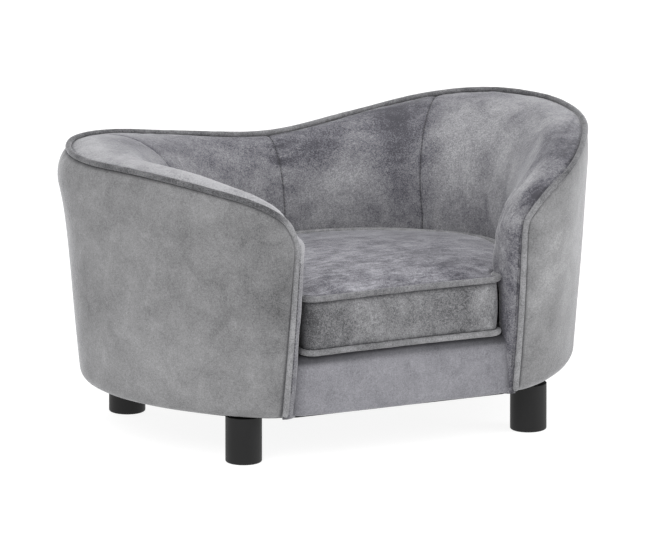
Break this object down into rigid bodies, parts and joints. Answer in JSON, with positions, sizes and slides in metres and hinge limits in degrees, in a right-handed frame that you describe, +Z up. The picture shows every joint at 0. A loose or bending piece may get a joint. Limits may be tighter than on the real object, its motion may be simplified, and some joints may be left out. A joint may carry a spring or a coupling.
{
  "type": "dog sofa bed",
  "caption": "Low tub sofa bed for a dog: padded wall with high welted wings, loose lift-out box cushion and round black feet.",
  "frame": {"origin": "on the floor under the middle of the sofa, at the bottom centre of its box", "axes": "+X to the right of the open front as a viewer sees it, +Y to the back, +Z up; the front faces -Y"},
  "size_m": [0.712, 0.4965, 0.3877],
  "materials": {
    "plush": "short-pile plush, brushed nap",
    "welt": "short-pile plush over cord",
    "foam": "open-cell foam",
    "plywood": "sanded plywood",
    "hardboard": "smooth hardboard",
    "foot_black": "satin black",
    "steel": "zinc plated",
    "dust_cloth": "non-woven cloth",
    "zip_tape": "woven zip tape"
  },
  "bodies": {
    "sofa": {"outer_cover": "plush", "inner_cover_left": "plush", "inner_cover_back_left": "plush", "inner_cover_back_right": "plush", "inner_cover_right": "plush", "arm_facing_left": "plush", "arm_facing_right": "plush", "shell_welt": "welt", "padding_left": "foam", "padding_back": "foam", "padding_right": "foam", "outer_board_left": "hardboard", "outer_board_back": "hardboard", "outer_board_right": "hardboard", "arm_post_left": "plywood", "arm_post_right": "plywood", "side_ribs": "plywood", "corner_ribs": "plywood", "back_rib": "plywood", "top_rail": "plywood", "base_board": "plywood", "front_rail": "plywood", "rear_rail": "plywood", "side_rails": "plywood", "seat_deck": "plywood", "deck_screws": "steel", "deck_cover": "dust_cloth", "front_rail_pad": "foam", "front_rail_cover": "plush", "dust_cover": "dust_cloth", "dust_cover_staples": "steel", "foot_front_left": "foot_black", "foot_front_right": "foot_black", "foot_rear_left": "foot_black", "foot_rear_right": "foot_black", "foot_studs": "steel", "foot_nuts": "steel"},
    "cushion": {"cushion_foam": "foam", "cushion_top_panel": "plush", "cushion_bottom_panel": "plush", "cushion_boxing": "plush", "cushion_welt_top": "welt", "cushion_welt_bottom": "welt", "cushion_zip": "zip_tape"},
    "slider": {"zip_slider": "steel"}
  },
  "joints": [
    {"name": "cushion_lift", "type": "slide", "parent": "sofa", "child": "cushion", "axis": [0, 0, 1], "range_m": [0, 0.25]},
    {"name": "zip_run", "type": "hinge", "parent": "cushion", "child": "slider", "pos_m": [0, -0.0969, 0.18355], "axis": [0, 0, -1], "range_deg": [0, 40.8]}
  ]
}
